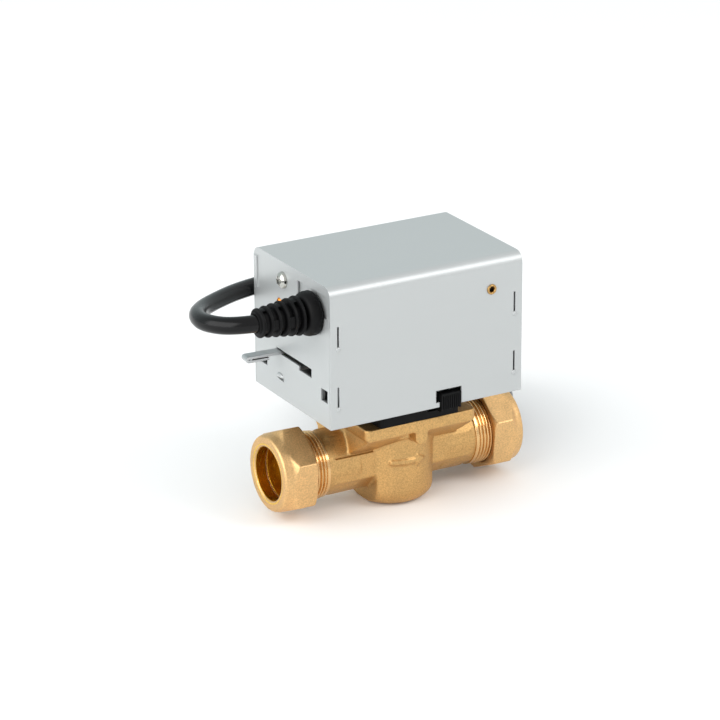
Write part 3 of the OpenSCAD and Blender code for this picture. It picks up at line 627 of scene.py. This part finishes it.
class ZV_OT_gland(bpy.types.Operator):
    """Makes the strain relief with its collar and its tapering ribs"""
    bl_idname = "zone_valve.gland"
    bl_label = "Strain relief"

    def execute(self, context):
        lo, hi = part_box("lead_gland")
        centre = Vector((hi.x, (lo.y + hi.y) / 2, (lo.z + hi.z) / 2))
        outline = ((0, 3.6), (0, 7.9), (2.86, 7.9), (2.86, 6.45), (5.04, 6.45), (5.04, 8.2), (5.4, 8.65), (6.1, 8.9),
                   (8.2, 8.85), (9.3, 8.5), (10.1, 7.8), (10.6, 6.7), (10.8, 5.5), (20, 4.9), (30.1, 4.4),
                   (30.45, 4.15), (30.45, 3.6))
        sleeve = smooth(lathe("StrainRelief", [(-x, r) for x, r in outline], centre=centre), 40)
        keep(sleeve, "gland_pvc", "head", "gland_pvc", "lead_gland")
        fin = ((-0.65, 4.8), (-0.65, 7.4), (-0.45, 7.8), (0, 7.95), (0.45, 7.8), (0.65, 7.4), (0.65, 4.8))
        pitch = Vector((-3.3 * MM, 0, 0))
        fins = row("StrainReliefFins", lathe("Fin", fin, 72), "gland_pvc", 6,
                   centre - Vector((12.5 * MM, 0, 0)), pitch, 0.052)
        keep(fins, "gland_pvc", "head", "gland_pvc")
        bridge = lathe("Bridge", ((-1.2, 4.8), (-1.2, 7.1), (1.2, 7.1), (1.2, 4.8)), 72)
        bm = bmesh.new()
        bm.from_mesh(bridge.data)
        # Two blocks of the ring stay, one above the sleeve and one below it
        middles = {face: face.calc_center_median() for face in bm.faces}
        lost = [face for face in bm.faces if abs(middles[face].z) < 0.0046 or abs(middles[face].y) > 0.0026]
        bmesh.ops.delete(bm, geom=lost, context="FACES")
        bmesh.ops.holes_fill(bm, edges=[edge for edge in bm.edges if edge.is_boundary], sides=4)
        bmesh.ops.recalc_face_normals(bm, faces=bm.faces)
        bm.to_mesh(bridge.data)
        bm.free()
        bridges = row("StrainReliefBridges", bridge, "gland_pvc", 5,
                      centre - Vector((14.15 * MM, 0, 0)), pitch, 0.056, math.radians(90))
        keep(bridges, "gland_pvc", "head", "gland_pvc")
        return {"FINISHED"}


# ---- the valve ----

# Distance from the middle at which the forged neck ends and its turned thread begins
NECK_END = 0.03435
THREAD_CRESTS = 7


def pipe_axis():
    """A point on the pipe's axis, in the middle of the body."""
    lo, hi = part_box("inlet_nut")
    return Vector((0, 0, (lo.z + hi.z) / 2))


def ring_pair(name, profile, finish):
    """A turned ring round the pipe's axis and its mirror image at the other end, as one piece on the valve."""
    rings = row(name, lathe("Ring", profile), finish, 1, pipe_axis(), Vector((0, 0, 0)), both_ends=True)
    keep(rings, finish, "valve", "brass_machined")


class ZV_OT_forging(bpy.types.Operator):
    """Makes the forged body with its rounded edges, and the turned threads"""
    bl_idname = "zone_valve.forging"
    bl_label = "Forged body"

    def execute(self, context):
        s = sizes()
        axis = pipe_axis()
        # Parting groove along the top of the inlet neck's front
        ledge = axis.z + 0.0052
        grooves = [((-0.031, -0.0136, ledge), (-0.0138, -0.0113, ledge + 0.0007))]
        body = softened("valve_body", "ForgedBody", s.casting_edge, 3, lambda co: abs(co.x) < NECK_END, grooves)
        keep(body, "brass_forged", "valve", "brass_casting", "valve_body")
        barrel = ((33.8, 12.4), (33.8, 13.45), (34.0, 13.65), (35.2, 13.65), (35.5, 13.2), (46.6, 13.2), (46.6, 12.6),
                  (49.6, 12.6), (49.6, 11.35), (33.8, 11.35))
        ring_pair("ThreadBarrels", barrel, "brass_turned")
        ring_pair("BodyBores", ((33.3, 11.3), (33.3, 11.05), (49.6, 11.05), (49.6, 11.3)), "brass_bore")
        crest = ((-0.68, 13.1), (-0.5, 13.6), (-0.2, 13.92), (0.2, 13.92), (0.5, 13.6), (0.68, 13.1))
        crests = row("ThreadCrests", lathe("Crest", crest), "brass_turned", THREAD_CRESTS,
                     axis + Vector((0.0363, 0, 0)), Vector((s.thread_pitch, 0, 0)), both_ends=True)
        keep(crests, "brass_turned", "valve", "brass_machined")
        return {"FINISHED"}


class ZV_OT_nuts(bpy.types.Operator):
    """Makes the compression nuts"""
    bl_idname = "zone_valve.nuts"
    bl_label = "Compression nuts"

    def execute(self, context):
        for node, name in (("inlet_nut", "InletNut"), ("outlet_nut", "OutletNut")):
            nut = softened(node, name, sizes().nut_edge, 3)
            keep(nut, "brass_nut", "valve", "brass_machined", node)
        bore = ((50.4, 11.7), (50.4, 11.06), (54.6, 11.06), (55.0, 11.5), (55.23, 12.0), (55.23, 12.35),
                (54.8, 12.35))
        ring_pair("NutBores", bore, "brass_bore")
        return {"FINISHED"}


EDGED_PIECES = (
    # node, piece, body, finish, slot, edge in millimetres
    ("cover", "Cover", "head", "zinc_sheet", "zinc_sheet", 0.15),
    ("chassis", "Chassis", "head", "zinc_sheet", "zinc_sheet", 0.15),
    ("cover_screws", "CoverScrews", "head", "steel_bright", "steel_bright", 0.12),
    ("end_rivet", "EndRivet", "head", "copper_rivet", "copper_olive", 0.1),
    ("front_eyelet", "FrontEyelet", "head", "eyelet_brass", "eyelet_brass", 0.08),
    ("release_latch", "ReleaseLatch", "latch", "nylon_black", "nylon_black", 0.12),
    ("manual_lever", "ManualLever", "lever", "lever_steel", "lever_steel", 0.15),
    ("adaptor_plate", "AdaptorPlate", "valve", "nylon_black", "nylon_black", 0.3),
    ("adaptor_screws", "AdaptorScrews", "valve", "steel_bright", "steel_bright", 0.12),
    ("bonnet_plate", "BonnetPlate", "valve", "brass_nut", "brass_casting", 0.25),
    ("bonnet_screws", "BonnetScrews", "valve", "steel_bright", "steel_bright", 0.12),
    ("spindle", "Spindle", "paddle", "stainless", "stainless", 0.2),
    ("drive_hub", "DriveHub", "lever", "brass_turned", "brass_machined", 0.2),
    ("motor_gearcase", "MotorGearcase", "head", "lever_steel", "lever_steel", 0.2),
    ("motor_can", "MotorCan", "head", "motor_steel", "motor_steel", 0.6),
    ("motor_screws", "MotorPosts", "head", "steel_bright", "steel_bright", 0.15),
    ("switch_body", "SwitchBody", "head", "switch_case", "switch_case", 0.3),
    ("switch_plunger", "SwitchPlunger", "plunger", "plunger_red", "plunger_red", 0.2),
)
# Nodes that keep the shape they have in the CAD, with their finishes
PLAIN_NODES = {
    "valve_seat": "brass_turned", "inlet_olive": "copper_olive", "outlet_olive": "copper_olive",
    "bonnet_seal": "rubber_black", "spindle_seals": "rubber_black", "paddle_arm": "brass_nut",
    "valve_ball": "rubber_black", "ball_rivet": "stainless", "latch_spring": "spring_steel",
    "motor_coil": "copper_winding", "motor_pinion": "brass_turned", "sector_gear": "lever_steel",
    "lever_rivets": "steel_bright", "return_spring": "spring_steel", "spring_post": "stainless",
    "switch_terminals": "eyelet_brass", "switch_screws": "steel_bright", "earth_tag": "eyelet_brass",
    "earth_screw": "brass_turned",
}
# Depth of the plunger's well below the switch's top, how near to that depth its floor's corners lie, and how much
# deeper the piece has it than the node, so that the plunger clears the floor at the end of its travel
WELL_DEPTH = 0.0018
WELL_FLOOR = 0.00035
WELL_CLEARANCE = 0.0002


class ZV_OT_metalwork(bpy.types.Operator):
    """Makes the sheet-metal, machined and moulded pieces with their broken edges"""
    bl_idname = "zone_valve.metalwork"
    bl_label = "Cover and works"

    def execute(self, context):
        for node, name, body, finish, slot, edge in EDGED_PIECES:
            piece = edged(node, name, edge * MM)
            if node == "switch_body":
                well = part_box(node)[1].z - WELL_DEPTH
                for vertex in piece.data.vertices:
                    if abs(vertex.co.z - well) < WELL_FLOOR:
                        vertex.co.z -= WELL_CLEARANCE
            keep(piece, finish, body, slot, node)
        for node, finish in PLAIN_NODES.items():
            data = NODES[node].data
            data.materials.clear()
            data.materials.append(material(finish))
        return {"FINISHED"}


WIRE_RADIUS = 0.00075


class ZV_OT_wiring(bpy.types.Operator):
    """Makes the coloured cores inside the head"""
    bl_idname = "zone_valve.wiring"
    bl_label = "Core wires"

    def execute(self, context):
        floor_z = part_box("earth_tag")[0].z / MM
        can_lo, can_hi = (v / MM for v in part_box("motor_can"))
        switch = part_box("switch_body")[0] / MM
        can_y = (can_lo.y + can_hi.y) / 2
        ways = [math.tau * i / 5 + math.pi / 2 for i in range(5)]
        start = [(-36.7, -17.7 + 1.7 * math.cos(a), 91.2 + 1.7 * math.sin(a)) for a in ways]
        # Finish, then the start, two points that pull on the wire, and its end, in millimetres
        routes = (
            ("core_earth", start[0], (-22, -4, 96), (-37, 28, 78), (-38, 17.5, floor_z + 1)),
            ("core_blue", start[1], (-28, -17, 92.5), (-14, -4, 84), (can_lo.x - 0.4, can_y + 3, 84)),
            ("core_brown", start[4], (-28, -15, 89), (-14, -10, 82), (can_lo.x - 0.4, can_y - 3, 82)),
            ("core_grey", start[2], (-32, -19.5, 84), (-40, -25, 54.4),
             (switch.x - 4, switch.y + 3.2, floor_z + 6.5)),
            ("core_orange", start[3], (-24, -17, 86), (10, -25, 54.4),
             (switch.x + 24, switch.y + 3.2, floor_z + 6.5)),
        )
        for i, (finish, *pulls) in enumerate(routes):
            wire = settle(tube(f"HeadWire_{i + 1}", bezier(*(Vector(p) * MM for p in pulls), 28), WIRE_RADIUS, 3))
            keep(wire, finish, "head", "core_insulation", *(["core_wires"] if i == 0 else []))
        return {"FINISHED"}


# ---- the studio ----

# Height of the pipe's axis, which the camera turns round
PIPE_HEIGHT = 0.0195
# Colours of the air in front of the valve and behind it
AIR_BEFORE = (0.86, 0.86, 0.86, 1)
AIR_BEHIND = (0.74, 0.83, 0.84, 1)
# Name, place, aim, size across and up, and power in watts
LIGHTS = (
    ("KeyLight", (1.0, -1.25, 1.3), (0, 0, 0.05), (0.9, 0.9), 12),
    ("SideLight", (-1.4, -0.15, 0.75), (0, 0, 0.05), (2.0, 1.4), 22),
)


def area_light(name, place, aim, size, power):
    """A rectangular light that faces the point it is aimed at."""
    data = bpy.data.lights.new(name, "AREA")
    data.shape = "RECTANGLE"
    data.size, data.size_y = size
    data.energy = power
    obj = link(name, data)
    obj.location = place
    obj.rotation_euler = (Vector(aim) - Vector(place)).to_track_quat("-Z", "Y").to_euler()
    return obj


class ZV_OT_studio(bpy.types.Operator):
    """Sets up the camera, the floor and the soft lights"""
    bl_idname = "zone_valve.studio"
    bl_label = "Studio"

    def execute(self, context):
        v = context.scene.zv_view
        flat = math.cos(v.elevation)
        back = Vector((math.sin(v.azimuth) * flat, -math.cos(v.azimuth) * flat, math.sin(v.elevation)))
        right = Vector((0, 0, 1)).cross(back).normalized()
        up = back.cross(right)
        cos, sin = math.cos(v.roll), math.sin(v.roll)
        right, up = cos * right + sin * up, -sin * right + cos * up
        data = bpy.data.cameras.new("Camera")
        data.lens = v.lens
        data.sensor_width = 36
        data.clip_start, data.clip_end = 0.05, 20
        camera = link("Camera", data)
        place = right * v.across + up * v.above + back * v.distance + Vector((0, 0, PIPE_HEIGHT))
        camera.matrix_world = Matrix.Translation(place) @ Matrix((right, up, back)).transposed().to_4x4()
        context.scene.camera = camera

        floor = bpy.data.meshes.new("StudioFloor")
        bm = bmesh.new()
        bmesh.ops.create_grid(bm, x_segments=8, y_segments=8, size=6)
        bm.to_mesh(floor)
        bm.free()
        floor = link("StudioFloor", floor)
        floor.data.materials.append(material("studio_floor"))
        floor.location.z = -0.0001

        world = bpy.data.worlds.new("StudioAir")
        world.use_nodes = True
        tree = world.node_tree
        tree.nodes.clear()
        way = add(tree, "ShaderNodeTexCoord").outputs["Generated"]
        way = add(tree, "ShaderNodeSeparateXYZ", {"Vector": way}).outputs["Y"]
        away = add(tree, "ShaderNodeMapRange", {"Value": way, "From Min": -0.1, "From Max": 0.75}).outputs["Result"]
        air = add(tree, "ShaderNodeMix", {"Factor": away}, data_type="RGBA")
        set_ends(air, AIR_BEFORE, AIR_BEHIND)
        glow = add(tree, "ShaderNodeBackground", {"Color": colour_of(air), "Strength": 1.0})
        add(tree, "ShaderNodeOutputWorld", {"Surface": glow.outputs["Background"]})
        context.scene.world = world
        for light in LIGHTS:
            area_light(*light)
        context.scene.view_settings.view_transform = "Standard"
        context.scene.view_settings.look = "None"
        return {"FINISHED"}


class ZV_PT_panel(bpy.types.Panel):
    """Lists the valve's pieces and settings"""
    bl_idname = "ZV_PT_panel"
    bl_label = "Zone valve"
    bl_space_type = "VIEW_3D"
    bl_region_type = "UI"
    bl_category = "Zone valve"

    def draw(self, context):
        for group in (context.scene.zv_sizes, context.scene.zv_colours, context.scene.zv_view):
            box = self.layout.box()
            for name in group.__annotations__:
                box.prop(group, name)
        for operator in OPERATORS:
            self.layout.operator(operator.bl_idname)


OPERATORS = (ZV_OT_studio, ZV_OT_lead, ZV_OT_gland, ZV_OT_forging, ZV_OT_nuts, ZV_OT_metalwork, ZV_OT_wiring)
CLASSES = (ZV_PG_sizes, ZV_PG_colours, ZV_PG_view, *OPERATORS, ZV_PT_panel)


def register():
    for cls in CLASSES:
        bpy.utils.register_class(cls)
    bpy.types.Scene.zv_sizes = bpy.props.PointerProperty(type=ZV_PG_sizes)
    bpy.types.Scene.zv_colours = bpy.props.PointerProperty(type=ZV_PG_colours)
    bpy.types.Scene.zv_view = bpy.props.PointerProperty(type=ZV_PG_view)


def unregister():
    del bpy.types.Scene.zv_sizes, bpy.types.Scene.zv_colours, bpy.types.Scene.zv_view
    for cls in reversed(CLASSES):
        bpy.utils.unregister_class(cls)


def main():
    register()
    bpy.ops.zone_valve.studio()
    bpy.ops.zone_valve.lead()
    bpy.ops.zone_valve.gland()
    bpy.ops.zone_valve.forging()
    bpy.ops.zone_valve.nuts()
    bpy.ops.zone_valve.metalwork()
    bpy.ops.zone_valve.wiring()


if __name__ == "__main__":
    main()
